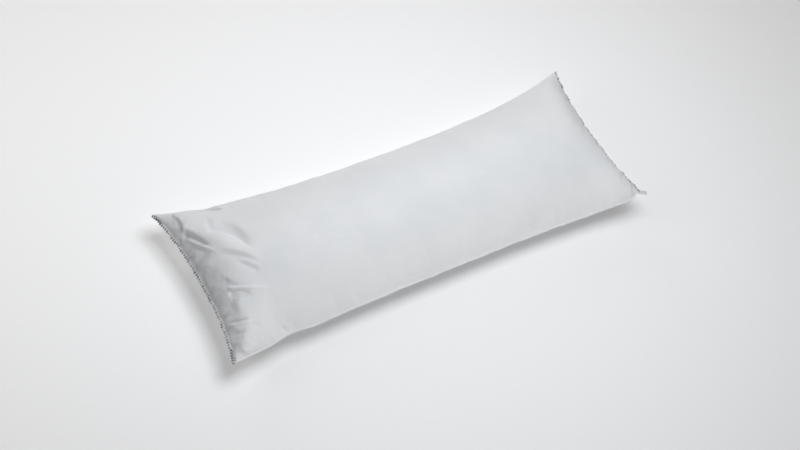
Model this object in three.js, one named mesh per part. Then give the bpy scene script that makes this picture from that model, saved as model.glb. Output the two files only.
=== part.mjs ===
// A long body pillow, filled and lying on its back: a cotton cover of two panels, 508 x 1372 mm flat,
// sewn edge to edge round a soft filling.
//
// Frame: millimetres, +Z up. X runs along the pillow and -Y is its near long side. The origin is the
// middle of the bounding box, on the surface that the pillow lies on.
// On the panels u runs from -1 at the left end to 1 at the right end, and v from -1 at the near long
// seam to 1 at the far one.

import * as THREE from "three";
import { ParametricGeometry } from "three/addons/geometries/ParametricGeometry.js";
import { mergeGeometries, mergeVertices } from "three/addons/utils/BufferGeometryUtils.js";

// ---- Driving dimensions, mm ----

const LENGTH = 1342; // corner to corner along the pillow, over both end seams
const WIDTH = 490; // corner to corner across the pillow
const CROWN_HEIGHT = 176; // top of the crown above the resting surface
const CORNER_HEIGHT = 92; // the end seams and the four ears, which stand clear of the surface
const LONG_SEAM_HEIGHT = 65; // the long seams at mid length, where the filling weighs them down
const LONG_DRAW_IN = 42; // how far each long seam is drawn in at mid length
const END_DRAW_IN = 27; // how far each end seam is drawn in at mid width
const BOW = 13; // sideways bow of the whole pillow at mid length, towards its near side
const RIM = 3; // thickness of the knife edge, where the two panels meet
const GAP = 0.3; // clearance between two pieces that touch

const END_SEAM = { width: 6, thickness: 3, bevel: 0.8 }; // joined edges outside the closing stitch
const TAB = { length: 26, width: 12, thickness: 1.6, cornerRadius: 2.5 }; // bare tab at one ear

// ---- How the form runs between those sizes ----

const LONG_SEAM_CURVE = 2.7; // a higher power keeps the draw-in even for longer
const END_SEAM_CURVE = 2.1;
const EAR_LIFT_CURVE = 7; // how late the long seams climb to the ears
const SWELL = { across: 2.2, along: 8, fullness: 0.72 }; // roundness of the crown
const SAG = { across: 2.6, along: 7, fullness: 0.62, press: 1.28 }; // the underside, pressed flat

// The near right ear is folded back a little, and the tab sticks out of it.
const TUCK = { backX: -7, backY: 17, reach: 24 };
const TAB_HEADING = -0.655; // radians from +X, out of the near right ear

// Where a long seam is pinched in beside an ear.
const PINCHES = [
  { side: 1, x: -528, reach: 30, depth: 5 },
  { side: -1, x: -490, reach: 48, depth: 8 },
];

// Main creases of the top panel, all at the left end: soft troughs (rise below 0) and ridges.
const CREASES = [
  { name: "pocket trough", x1: -636, y1: 152, x2: -586, y2: 64, halfWidth: 14, rise: -10 },
  { name: "lip above the pocket", x1: -628, y1: 172, x2: -572, y2: 92, halfWidth: 12, rise: 4 },
  { name: "lip below the pocket", x1: -642, y1: 132, x2: -592, y2: 38, halfWidth: 11, rise: 4 },
  { name: "ear trough", x1: -632, y1: 214, x2: -626, y2: 168, halfWidth: 11, rise: -4 },
  { name: "broad hollow", x1: -562, y1: 142, x2: -496, y2: 4, halfWidth: 24, rise: -5 },
  { name: "middle trough", x1: -566, y1: 22, x2: -508, y2: -50, halfWidth: 13, rise: -4 },
  { name: "middle ridge", x1: -604, y1: -66, x2: -530, y2: -110, halfWidth: 12, rise: 5 },
  { name: "trough beside it", x1: -608, y1: -90, x2: -552, y2: -126, halfWidth: 11, rise: -5 },
  { name: "pleat trough", x1: -642, y1: -146, x2: -584, y2: -160, halfWidth: 12, rise: -5 },
  { name: "pleat ridge", x1: -644, y1: -168, x2: -598, y2: -180, halfWidth: 11, rise: 5 },
];

// Columns of the panels, from the left end: fine where the creases are, coarse on the plain crown.
const COLUMN_ZONES = [
  { length: 190, columns: 19 },
  { length: 110, columns: 5 },
  { length: 792, columns: 22 },
  { length: 110, columns: 5 },
  { length: 140, columns: 11 },
];
const ROWS = 34;
const ROW_CROWDING = 0.85; // below 1 the rows crowd towards the seams

const COLOURS = { cotton: 0xdfe2e5, seam: 0xc9cccf, tab: 0xb9bcc0 };

// ---- Shape functions ----

/** 1 in the middle, falling to 0 at the edge t = -1 or 1. */
function arch(t, power, fullness) {
  return Math.pow(Math.max(0, 1 - Math.pow(Math.abs(t), power)), fullness);
}

/** A soft bump: 1 at distance 0, fading over the given reach. */
function bump(distance, reach) {
  return Math.exp(-((distance / reach) ** 2));
}

/** Place in plan of the point (u, v) of either panel. */
function plan(u, v) {
  const endX = LENGTH / 2 - END_SEAM.width - GAP;
  const endDraw = END_DRAW_IN * arch(v, END_SEAM_CURVE, 1) * Math.abs(u) ** 1.5;
  const x = u * (endX - endDraw);
  let sideDraw = LONG_DRAW_IN * arch(u, LONG_SEAM_CURVE, 1);
  for (const pinch of PINCHES) {
    if (Math.sign(v) === pinch.side) sideDraw += pinch.depth * bump(x - pinch.x, pinch.reach);
  }
  const y = v * (WIDTH / 2 - sideDraw * Math.abs(v)) - BOW * (1 - u * u);
  const tuck = bump(Math.hypot(x - endX, y + WIDTH / 2), TUCK.reach);
  return new THREE.Vector2(x + TUCK.backX * tuck, y + TUCK.backY * tuck);
}

/** Height of the surface halfway between the panels. On the rim it is the height of the seam. */
function middleHeight(u) {
  const lift = (CORNER_HEIGHT - LONG_SEAM_HEIGHT) * Math.abs(u) ** EAR_LIFT_CURVE;
  return LONG_SEAM_HEIGHT + lift;
}

/** How far the creases raise (or, below 0, lower) the top panel at a point in plan. */
function creaseRise(point) {
  let rise = 0;
  for (const crease of CREASES) {
    const from = new THREE.Vector2(crease.x1, crease.y1);
    const along = new THREE.Vector2(crease.x2, crease.y2).sub(from);
    const offset = point.clone().sub(from);
    const share = THREE.MathUtils.clamp(offset.dot(along) / along.lengthSq(), 0, 1);
    const distance = offset.distanceTo(along.multiplyScalar(share));
    rise += crease.rise * bump(distance, crease.halfWidth);
  }
  return rise;
}

/** Point of the top panel: crowned, with its creases fading out at the seams. */
function topPoint(u, v, target) {
  const place = plan(u, v);
  const swell = arch(v, SWELL.across, SWELL.fullness) * arch(u, SWELL.along, SWELL.fullness);
  const crown = (CROWN_HEIGHT - LONG_SEAM_HEIGHT - RIM / 2) * swell;
  const crease = creaseRise(place) * (1 - bump(swell, 0.2));
  target.set(place.x, place.y, middleHeight(u) + RIM / 2 + crown + crease);
}

/** Point of the bottom panel: pressed flat on the surface over most of its area. */
function bottomPoint(u, v, target) {
  const place = plan(u, v);
  const rim = middleHeight(u) - RIM / 2;
  const sag = SAG.press * arch(v, SAG.across, SAG.fullness) * arch(u, SAG.along, SAG.fullness);
  target.set(place.x, place.y, Math.max(0, rim * (1 - sag)));
}

// ---- Stations of the grid that both panels and the rim share ----

/** u of each column line, worked out from the zones. */
function columnStations() {
  const stations = [-1];
  let start = 0;
  for (const zone of COLUMN_ZONES) {
    for (let i = 1; i <= zone.columns; i++) {
      stations.push((2 * (start + (zone.length * i) / zone.columns)) / LENGTH - 1);
    }
    start += zone.length;
  }
  return stations;
}

/** v of each row line, crowded towards the two long seams. */
function rowStations() {
  const stations = [];
  for (let j = 0; j <= ROWS; j++) {
    const even = (2 * j) / ROWS - 1;
    stations.push(Math.sign(even) * Math.abs(even) ** ROW_CROWDING);
  }
  return stations;
}

const COLUMN = columnStations();
const ROW = rowStations();
const COLUMNS = COLUMN.length - 1;

// ---- Pieces ----

/** Grid corner number k on the way round the rim, against the clock from the near left ear. */
function rimStation(k) {
  const step = k % (2 * (COLUMNS + ROWS));
  if (step <= COLUMNS) return [step, 0];
  if (step <= COLUMNS + ROWS) return [COLUMNS, step - COLUMNS];
  if (step <= 2 * COLUMNS + ROWS) return [2 * COLUMNS + ROWS - step, ROWS];
  return [0, 2 * (COLUMNS + ROWS) - step];
}

/** The filled pillow as one closed solid: two panels and the narrow wall of the knife edge. */
function pillowGeometry() {
  const top = new ParametricGeometry(
    (s, t, target) => topPoint(COLUMN[Math.round(s * COLUMNS)], ROW[Math.round(t * ROWS)], target),
    COLUMNS,
    ROWS,
  );
  const bottom = new ParametricGeometry(
    (s, t, target) => bottomPoint(COLUMN[Math.round(s * COLUMNS)], ROW[ROWS - Math.round(t * ROWS)], target),
    COLUMNS,
    ROWS,
  );
  const around = 2 * (COLUMNS + ROWS);
  const rim = new ParametricGeometry(
    (s, t, target) => {
      const [column, row] = rimStation(Math.round(s * around));
      const panel = t < 0.5 ? bottomPoint : topPoint;
      panel(COLUMN[column], ROW[row], target);
    },
    around,
    1,
  );
  const sheets = [top, bottom, rim];
  for (const sheet of sheets) {
    sheet.deleteAttribute("normal");
    sheet.deleteAttribute("uv");
  }
  const geometry = mergeVertices(mergeGeometries(sheets), 0.001);
  geometry.computeVertexNormals();
  return geometry;
}

/** One end seam: a flat band that follows the drawn-in rim, side -1 at the left and 1 at the right. */
function endSeamGeometry(side) {
  const stations = ROW.slice(1, -1).filter((v) => side < 0 || v > -0.9);
  const rim = stations.map((v) => plan(side, v));
  const inner = rim.map((p) => new THREE.Vector2(p.x + side * GAP, p.y));
  const outer = rim.map((p) => new THREE.Vector2(p.x + side * (GAP + END_SEAM.width), p.y));
  const shape = new THREE.Shape([...inner, ...outer.reverse()]);
  const geometry = new THREE.ExtrudeGeometry(shape, {
    depth: END_SEAM.thickness - 2 * END_SEAM.bevel,
    bevelThickness: END_SEAM.bevel,
    bevelSize: END_SEAM.bevel,
    bevelOffset: -END_SEAM.bevel,
    bevelSegments: 1,
  });
  return geometry.translate(0, 0, CORNER_HEIGHT - END_SEAM.thickness / 2 + END_SEAM.bevel);
}

/** The tab, flat, with its inner end at the origin and its outer corners rounded. */
function tabGeometry() {
  const half = TAB.width / 2;
  const bend = TAB.length - TAB.cornerRadius;
  const shape = new THREE.Shape();
  shape.moveTo(0, -half);
  shape.lineTo(bend, -half);
  shape.absarc(bend, TAB.cornerRadius - half, TAB.cornerRadius, -Math.PI / 2, 0);
  shape.absarc(bend, half - TAB.cornerRadius, TAB.cornerRadius, 0, Math.PI / 2);
  shape.lineTo(0, half);
  const geometry = new THREE.ExtrudeGeometry(shape, {
    depth: TAB.thickness,
    bevelEnabled: false,
    curveSegments: 4,
  });
  return geometry.translate(0, 0, -TAB.thickness / 2);
}

/** A named piece in one plain finish. */
function piece(name, geometry, colour, roughness) {
  const material = new THREE.MeshStandardMaterial({ color: colour, roughness, metalness: 0 });
  const mesh = new THREE.Mesh(geometry, material);
  mesh.name = name;
  return mesh;
}

const pillow = piece("pillow", pillowGeometry(), COLOURS.cotton, 0.9);
const leftSeam = piece("end_seam_left", endSeamGeometry(-1), COLOURS.seam, 0.92);
const rightSeam = piece("end_seam_right", endSeamGeometry(1), COLOURS.seam, 0.92);

const tab = piece("corner_tab", tabGeometry(), COLOURS.tab, 0.85);
const ear = plan(1, -1);
tab.position.set(
  ear.x + GAP * Math.cos(TAB_HEADING),
  ear.y + GAP * Math.sin(TAB_HEADING),
  CORNER_HEIGHT,
);
tab.rotation.z = TAB_HEADING;

// All pieces lie in the pillow's own frame, moved so that the origin is under the middle of the box.
const pieces = new THREE.Group();
pieces.add(pillow, leftSeam, rightSeam, tab);
const box = new THREE.Box3().setFromObject(pieces);
pieces.position.set(-(box.min.x + box.max.x) / 2, -(box.min.y + box.max.y) / 2, -box.min.z);

const bodyPillow = new THREE.Group();
bodyPillow.add(pieces);

export default bodyPillow;
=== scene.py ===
"""A long body pillow, filled and lying on its back on a plain pale table.

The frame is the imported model's: metres, +Z up, with X along the pillow and -Y its near long side.
Sizes of the pillow are millimetres in its own frame, whose origin lies under the pillow's middle, and
`PillowForm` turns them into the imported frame. Everywhere u and v are places on a panel: u runs from -1
at the left end to 1 at the right end, and v from -1 at the near long seam to 1 at the far one.
"""

import logging
import math
from dataclasses import dataclass, field
from enum import Enum

import bpy
import numpy as np
from bpy.types import ClothModifier, Material, Node, NodeSocket, NodeTree, Object, bpy_prop_collection
from mathutils import Matrix, Vector


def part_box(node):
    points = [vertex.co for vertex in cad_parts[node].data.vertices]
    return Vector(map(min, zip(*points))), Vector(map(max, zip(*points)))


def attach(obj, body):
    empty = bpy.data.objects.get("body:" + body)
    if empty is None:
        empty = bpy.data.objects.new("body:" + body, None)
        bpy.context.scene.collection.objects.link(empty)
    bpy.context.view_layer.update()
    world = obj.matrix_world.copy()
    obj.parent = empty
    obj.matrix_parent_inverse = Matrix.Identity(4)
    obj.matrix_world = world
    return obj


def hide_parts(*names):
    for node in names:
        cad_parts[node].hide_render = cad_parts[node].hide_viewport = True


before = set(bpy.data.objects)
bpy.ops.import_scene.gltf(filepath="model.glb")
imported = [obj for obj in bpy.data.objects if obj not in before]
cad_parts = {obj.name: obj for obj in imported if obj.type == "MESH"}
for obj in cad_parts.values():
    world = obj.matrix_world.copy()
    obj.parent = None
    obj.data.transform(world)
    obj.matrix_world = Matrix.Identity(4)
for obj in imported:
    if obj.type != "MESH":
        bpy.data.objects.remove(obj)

Array = np.ndarray
Pair = tuple[float, float]
Pairs = tuple[Pair, ...]
LOG = logging.getLogger("body_pillow")
MM = 0.001


# Small helpers


def arch(t: Array, power: float, fullness: float = 1.0) -> Array:
    """1 in the middle, falling to 0 at t = -1 and 1.

    Args:
        t: Place across the span, from -1 to 1.
        power: A higher power keeps the middle flat for longer.
        fullness: Below 1 the fall at the ends is steeper.

    Returns:
        The height of the arch at each t.
    """
    return np.clip(1.0 - np.abs(t) ** power, 0.0, None) ** fullness


def bump(distance: Array, reach: Array | float) -> Array:
    """1 at distance 0, fading softly over the reach."""
    return np.exp(-((distance / reach) ** 2))


def smooth_step(t: Array) -> Array:
    """0 below t = 0, 1 above t = 1, and a smooth climb between them."""
    t = np.clip(t, 0.0, 1.0)
    return t * t * (3.0 - 2.0 * t)


def unit(vectors: Array) -> Array:
    """The vectors, each one unit long."""
    return vectors / np.maximum(np.linalg.norm(vectors, axis=-1, keepdims=True), 1e-9)


def right_of(runs: Array) -> Array:
    """Unit vectors to the right of directions seen from above."""
    return unit(np.stack([runs[:, 1], -runs[:, 0]], axis=-1))


def towards(azimuth: float, elevation: float) -> Vector:
    """Unit vector towards a place round the pillow, in degrees: 0 is the near side and 90 the right."""
    turn, tilt = math.radians(azimuth), math.radians(elevation)
    return Vector((math.sin(turn) * math.cos(tilt), -math.cos(turn) * math.cos(tilt), math.sin(tilt)))


def linear(hex_colour: str) -> tuple[float, float, float, float]:
    """Turn an sRGB colour to linear.

    Args:
        hex_colour: The colour, as "#rrggbb".

    Returns:
        Blender's linear RGBA.
    """
    parts = [int(hex_colour[i : i + 2], 16) / 255 for i in (1, 3, 5)]
    r, g, b = (c / 12.92 if c <= 0.04045 else ((c + 0.055) / 1.055) ** 2.4 for c in parts)
    return (r, g, b, 1.0)


def link_object(name: str, data: bpy.types.ID) -> Object:
    """Make an object at the origin and put it in the scene.

    Args:
        name: The object's name.
        data: Its mesh, light or camera.

    Returns:
        The new object.
    """
    obj = bpy.data.objects.new(name, data)
    bpy.context.scene.collection.objects.link(obj)
    return obj


def mesh_object(
    name: str, points_mm: Array, faces: Array | list, material: Material | None = None
) -> Object:
    """Make a smooth-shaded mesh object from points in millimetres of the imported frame.

    Args:
        name: The piece's name.
        points_mm: One row for each vertex.
        faces: Vertex numbers of each face, against the clock seen from outside.
        material: What it is made of.

    Returns:
        The new object.
    """
    mesh = bpy.data.meshes.new(name)
    mesh.from_pydata((points_mm * MM).tolist(), [], [list(map(int, face)) for face in faces])
    mesh.polygons.foreach_set("use_smooth", [True] * len(mesh.polygons))
    mesh.update()
    if material:
        mesh.materials.append(material)
    return link_object(name, mesh)


def loop_vertices(obj: Object) -> Array:
    """Read which vertex each face corner uses.

    Args:
        obj: A mesh object.

    Returns:
        The vertex's number at each corner.
    """
    numbers = np.empty(len(obj.data.loops), np.int64)
    obj.data.loops.foreach_get("vertex_index", numbers)
    return numbers


def lay_flat(obj: Object, name: str, places_mm: Array) -> None:
    """Give an object a UV map in metres of flat cloth, from a place in mm for each face corner."""
    layer = obj.data.uv_layers.new(name=name)
    layer.data.foreach_set("uv", (places_mm * MM).astype(np.float32).ravel())


# The form


class End(Enum):
    """An end of the pillow, as the sign of its u."""

    LEFT = -1
    RIGHT = 1


class Panel(Enum):
    """A panel of the cover."""

    TOP = 1
    BOTTOM = -1


@dataclass(frozen=True)
class Pinch:
    """A place where a long seam is drawn in further, in millimetres. The near seam is side -1."""

    side: int
    x: float
    reach: float
    depth: float


PINCHES = (
    Pinch(side=1, x=-528, reach=30, depth=5),
    Pinch(side=-1, x=-490, reach=48, depth=8),
)


@dataclass(frozen=True)
class SeamWave:
    """One wave of a pair of seams, in millimetres, with its own start on each of them in radians."""

    length: float
    height: float
    starts: Pair


LONG_SEAM_WAVES = (
    SeamWave(171, 1.3, starts=(0.4, 2.9)),
    SeamWave(74, 0.8, starts=(1.7, 0.3)),
    SeamWave(43, 0.4, starts=(4.0, 5.2)),
)
END_SEAM_WAVES = (
    SeamWave(138, 1.2, starts=(1.0, 3.7)),
    SeamWave(52, 0.7, starts=(5.0, 2.2)),
    SeamWave(27, 0.35, starts=(2.6, 0.9)),
)
END_SEAM_SCALLOPS = (
    SeamWave(43, 0.9, starts=(0.7, 2.0)),
    SeamWave(29, 0.8, starts=(3.1, 5.4)),
    SeamWave(17, 0.4, starts=(1.9, 4.4)),
)


def sway(waves: tuple[SeamWave, ...], turns_mm: Array, side: Array) -> Array:
    """Height of waves at places times a full turn, along a pair of seams: side is above 0 on the second."""
    starts = [np.where(side > 0, wave.starts[1], wave.starts[0]) for wave in waves]
    return sum(w.height * np.sin(turns_mm / w.length + start) for w, start in zip(waves, starts))


@dataclass(frozen=True)
class PillowForm:
    """The filled cover's smooth form, in millimetres.

    Attributes:
        bow: How far the middle bows towards the near side.
        tuck: How far the near right ear is moved along X and Y.
        bead: How far the turned seam stands out from the panels.
        blunt: Share of the half length where the crown turns blunter towards an end, and over how much.
        sag: How deep the bottom panel would hang without the table, as a share of its seams' height.
    """

    centre_x: float
    centre_y: float
    half_length: float
    half_width: float
    crown_height: float
    left_ear_height: float = 84.0
    right_ear_height: float = 92.0
    long_seam_height: float = 65.0
    long_draw_in: float = 38.0
    end_draw_in: float = 27.0
    bow: float = 13.0
    tuck: Pair = (-7.0, 17.0)
    tuck_reach: float = 24.0
    bead: float = 2.6
    bead_height: float = 1.3
    blunt: Pair = (0.78, 0.17)
    sag: float = 1.75

    @classmethod
    def from_frame(cls) -> "PillowForm":
        """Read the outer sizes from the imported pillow.

        Returns:
            The form of that size.
        """
        low, high = (np.array(corner / MM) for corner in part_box("pillow"))
        middle, half = (low + high) / 2, (high - low) / 2
        return cls(middle[0], middle[1], half[0], half[1], high[2])

    def packed(self, points: Array) -> Array:
        """Move points from the pillow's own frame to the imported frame, both in millimetres."""
        return points + np.array([self.centre_x, self.centre_y, 0.0])

    def plan(self, u: Array, v: Array, inset: float) -> tuple[Array, Array]:
        """Place points of a panel in plan.

        Args:
            u: Place along the panel.
            v: Place across it.
            inset: How far inside the pillow's outline u = 1 and v = 1 lie, in millimetres.

        Returns:
            x and y in millimetres.
        """
        end_draw = self.end_draw_in * arch(v, 2.1) * np.abs(u) ** 1.5 + self.scallops(u, v)
        x = u * (self.half_length - inset - end_draw)
        side_draw = self.long_draw_in * arch(u, 2.7)
        for pinch in PINCHES:
            here = (np.sign(v) == pinch.side) * bump(x - pinch.x, pinch.reach)
            side_draw = side_draw + pinch.depth * here
        y = v * (self.half_width - inset - side_draw * np.abs(v)) - self.bow * (1.0 - u * u)
        tucked = bump(np.hypot(x - self.half_length, y + self.half_width), self.tuck_reach)
        return x + self.tuck[0] * tucked, y + self.tuck[1] * tucked

    def scallops(self, u: Array, v: Array) -> Array:
        """How far an end seam wanders in and out, in millimetres, fading away from it."""
        wander = sway(END_SEAM_SCALLOPS, math.tau * v * self.half_width, u)
        return wander * np.abs(u) ** 30 * arch(v, 6.0)

    def middle(self, u: Array, v: Array, x: Array, y: Array) -> Array:
        """Height halfway between the panels, which at the rim is the seam's, with its wander up and down.

        Args:
            u: Place along the panel.
            v: Place across it.
            x: x of the same points, in millimetres.
            y: Their y.

        Returns:
            Heights in millimetres.
        """
        ear_height = np.where(u < 0, self.left_ear_height, self.right_ear_height)
        lift = (ear_height - self.long_seam_height) * np.abs(u) ** 7
        by_long_seam = np.abs(v) ** 6 * arch(u, 6.0)
        by_end_seam = np.abs(u) ** 24 * arch(v, 4.0)
        long_wave = sway(LONG_SEAM_WAVES, math.tau * x, v) * by_long_seam
        end_wave = sway(END_SEAM_WAVES, math.tau * y, u) * by_end_seam
        return self.long_seam_height + lift + (long_wave + end_wave)

    def surface(self, panel: Panel, u: Array, v: Array) -> Array:
        """Points of a panel's smooth form, up to where its seam bead starts.

        Args:
            panel: Which panel.
            u: Place along it.
            v: Place across it.

        Returns:
            x, y and z in millimetres, on the last axis.
        """
        x, y = self.plan(u, v, self.bead)
        middle = self.middle(u, v, x, y)
        if panel is Panel.TOP:
            start, run = self.blunt
            by_end = smooth_step((np.abs(u) - start) / run)
            swell = arch(v, 2.0 + 1.2 * by_end, 1.0 - 0.4 * by_end) * arch(u, 6.5, 0.66)
            rise = self.crown_height - self.long_seam_height - self.bead_height
            z = middle + self.bead_height + rise * swell
        else:
            hang = self.sag * arch(v, 1.4) * arch(u, 10.0, 0.5)
            z = np.maximum((middle - self.bead_height) * (1.0 - hang), 0.0)
        return np.stack([x, y, z], axis=-1)


# Creases


@dataclass(frozen=True)
class Crease:
    """A crease of the top panel: a bent line with its own width on each side.

    Attributes:
        name: Where it is.
        path: Its first, middle and last point, as x and y in millimetres seen from above.
        left: Half width on the left of the path's direction, in millimetres.
        right: Half width on its right.
        rise: Height in millimetres, below 0 for a trough.
        edge: 2 for a rounded line, less for a crisper one.
        fade: Shares of the path over which it fades in at its start and out at its end.
    """

    name: str
    path: tuple[Pair, Pair, Pair]
    left: float
    right: float
    rise: float
    edge: float = 1.5
    fade: Pair = (0.3, 0.4)

    def line(self, steps: int) -> Array:
        """Lay the arc through the path's three points.

        Args:
            steps: Number of straight steps that stand for the arc.

        Returns:
            x and y in millimetres of each point.
        """
        start, middle, end = (np.array(point, float) for point in self.path)
        control = 2.0 * middle - (start + end) / 2.0
        t = np.linspace(0.0, 1.0, steps + 1)[:, None]
        return (1 - t) ** 2 * start + 2 * t * (1 - t) * control + t**2 * end

    def height(self, x: Array, y: Array, steps: int = 24) -> Array:
        """Find how far the crease lifts the top panel.

        Args:
            x: x of each place, in millimetres.
            y: Its y.
            steps: Number of straight steps that stand for the path's arc.

        Returns:
            Millimetres along the normal.
        """
        line = self.line(steps)
        nearest = np.full(x.shape, np.inf)
        side, share = np.zeros(x.shape), np.zeros(x.shape)
        for step in range(steps):
            start, run = line[step], line[step + 1] - line[step]
            dx, dy = x - start[0], y - start[1]
            along = np.clip((dx * run[0] + dy * run[1]) / (run @ run), 0.0, 1.0)
            distance = np.hypot(dx - along * run[0], dy - along * run[1])
            closer = distance < nearest
            nearest = np.where(closer, distance, nearest)
            side = np.where(closer, run[0] * dy - run[1] * dx, side)
            share = np.where(closer, (step + along) / steps, share)
        width = np.where(side > 0, self.left, self.right)
        ends = smooth_step(share / self.fade[0]) * smooth_step((1.0 - share) / self.fade[1])
        return self.rise * ends * np.exp(-((nearest / width) ** self.edge))


CREASES = (
    Crease("stop line, far ear", ((-652, 240), (-655, 219), (-650, 184)), 4, 4, -3.0, 1.4, (0.1, 0.4)),
    Crease("fold at the far ear", ((-634, 218), (-625, 185), (-630, 143)), 4, 14, -1.5, 1.4, (0.15, 0.1)),
    Crease("panel past that fold", ((-627, 218), (-617, 186), (-621, 148)), 24, 7, 5.0, 1.5, (0.15, 0.15)),
    Crease("lip of the pocket", ((-628, 156), (-603, 118), (-580, 58)), 18, 6, 5.0, 1.3, (0.1, 0.35)),
    Crease("ledge above the pocket", ((-624, 158), (-606, 133), (-590, 106)), 9, 5, 4.5, 2.0, (0.06, 0.8)),
    Crease("pocket", ((-634, 147), (-607, 100), (-584, 52)), 9, 4, -9.0, 1.4, (0.08, 0.4)),
    Crease("ridge below the pocket", ((-632, 130), (-606, 87), (-580, 42)), 5, 5, 6.0, 1.3, (0.15, 0.35)),
    Crease("line under that ridge", ((-641, 140), (-618, 85), (-586, 44)), 5, 9, -5.0, 1.4),
    Crease("end of the steep slope", ((-630, 48), (-616, 28), (-602, 10)), 8, 5, 2.5, 1.4),
    Crease("light swell", ((-606, 132), (-566, 84), (-535, 28)), 22, 18, 3.0, 2.0),
    Crease("swell past the hollow", ((-564, 142), (-506, 108), (-488, 12)), 30, 12, 5.5, 1.7, (0.15, 0.35)),
    Crease("broad hollow", ((-578, 121), (-532, 86), (-497, 0)), 20, 7, -10.0, 1.4, (0.12, 0.25)),
    Crease("upper step", ((-580, 52), (-530, 12), (-491, -38)), 20, 5, 4.0, 1.3),
    Crease("line under the upper step", ((-586, 42), (-538, 3), (-497, -48)), 4, 8, -4.0, 1.3),
    Crease("lower step", ((-552, 6), (-518, -33), (-501, -56)), 9, 4, 3.0, 1.3),
    Crease("line under the lower step", ((-556, -2), (-526, -40), (-508, -64)), 4, 9, -3.5, 1.3),
    Crease("crescent", ((-602, -24), (-588, -40), (-575, -62)), 12, 4, 3.0, 1.3),
    Crease("line under the crescent", ((-604, -34), (-590, -50), (-576, -72)), 4, 10, -2.2, 1.3),
    Crease("line above the middle ridge", ((-600, -52), (-562, -77), (-510, -96)), 6, 3, -4.0, 1.3),
    Crease("middle ridge", ((-602, -61), (-560, -88), (-498, -109)), 4, 5, 7.0, 1.3, (0.12, 0.4)),
    Crease("trough below it", ((-608, -76), (-577, -88), (-551, -116)), 4, 10, -6.5, 1.3, (0.15, 0.35)),
    Crease("edge of the curved valley", ((-600, -94), (-597, -122), (-608, -150)), 20, 14, 4.0, 1.6),
    Crease("curved valley", ((-616, -92), (-612, -122), (-623, -148)), 12, 26, -2.0, 1.8),
    Crease("line above the pleat", ((-648, -133), (-618, -152), (-588, -160)), 4, 3, -9.0, 1.6, (0.08, 0.3)),
    Crease("pleat", ((-650, -146), (-614, -162), (-558, -181)), 4, 6, 7.0, 1.3, (0.06, 0.5)),
    Crease("dash past the pleat", ((-597, -173), (-578, -181), (-560, -190)), 4, 6, -3.5, 1.4),
    Crease("line under the pleat", ((-646, -162), (-628, -179), (-603, -195)), 4, 9, -7.0, 1.4, (0.1, 0.35)),
    Crease("swell, near ear", ((-617, -176), (-621, -205), (-634, -236)), 20, 30, 8.0, 1.9, (0.3, 0.15)),
    Crease("nick at the near seam", ((-508, -198), (-500, -211), (-488, -220)), 4, 5, -4.0, 1.4),
    Crease("tuck at the far seam", ((-566, 219), (-524, 210), (-484, 182)), 5, 5, -13.0, 1.6, (0.15, 0.25)),
    Crease("fold at the right ear", ((655, -194), (650, -212), (636, -228)), 5, 9, -6.0, 1.5, (0.1, 0.2)),
    Crease("lip of that fold", ((647, -186), (637, -207), (624, -228)), 4, 9, 3.5, 1.4, (0.15, 0.2)),
    Crease("first tick, right seam", ((644, 112), (632, 106), (616, 103)), 4, 6, -2.5, 1.5, (0.1, 0.6)),
    Crease("second tick, right seam", ((637, 33), (624, 30), (604, 24)), 5, 4, -3.0, 1.5, (0.1, 0.6)),
    Crease("third tick, right seam", ((638, -28), (626, -33), (610, -34)), 4, 7, -3.0, 1.5, (0.1, 0.6)),
    Crease("last tick, right seam", ((642, -118), (630, -123), (612, -121)), 6, 4, -2.5, 1.5, (0.1, 0.6)),
    Crease("lip beyond the tuck", ((-556, 228), (-518, 222), (-478, 193)), 8, 6, 6.0, 1.5),
)


# The grid of a panel


@dataclass(frozen=True)
class PanelGrid:
    """Stations of the grid that both panels share. The cloth is simulated on every second one.

    Attributes:
        zones: Length of each stretch along the pillow and the step between its columns, in millimetres.
        rows: Number of cells across.
        crowding: Below 1 the rows crowd towards the long seams.
    """

    zones: Pairs = ((196, 2.6), (900, 5.0), (246, 4.2))
    rows: int = 144
    crowding: float = 0.9

    def mesh(self) -> tuple[Array, Array]:
        """Lay out the grid.

        Returns:
            u and v of every grid point, columns first.
        """
        places = [0.0]
        for length, step in self.zones:
            steps = 2 * round(length / step / 2)
            start = places[-1]
            places += [start + length * (i + 1) / steps for i in range(steps)]
        columns = 2.0 * np.array(places) / places[-1] - 1.0
        even = np.linspace(-1.0, 1.0, self.rows + 1)
        return np.meshgrid(columns, np.sign(even) * np.abs(even) ** self.crowding, indexing="ij")


def refine(values: Array) -> Array:
    """Put a smooth midpoint between neighbouring vectors of a grid, along both of its first two axes.

    Args:
        values: The grid's vectors.

    Returns:
        Vectors of the grid that is twice as fine.
    """
    for axis in (0, 1):
        grid = np.moveaxis(values, axis, 0)
        padded = np.concatenate([2 * grid[:1] - grid[1:2], grid, 2 * grid[-1:] - grid[-2:-1]])
        between = (9.0 * (padded[1:-2] + padded[2:-1]) - (padded[:-3] + padded[3:])) / 16.0
        fine = np.empty((2 * len(grid) - 1, *grid.shape[1:]))
        fine[0::2], fine[1::2] = grid, between
        values = np.moveaxis(fine, 0, axis)
    return values


def blur(values: Array, rounds: int) -> Array:
    """Average each grid vector with its neighbours. A rim of zeros stays as it is.

    Args:
        values: The grid's vectors.
        rounds: How many times.

    Returns:
        The blurred vectors.
    """
    values = values.copy()
    for _ in range(rounds):
        values[1:-1] = (values[:-2] + 2.0 * values[1:-1] + values[2:]) / 4.0
        values[:, 1:-1] = (values[:, :-2] + 2.0 * values[:, 1:-1] + values[:, 2:]) / 4.0
    return values


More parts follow.
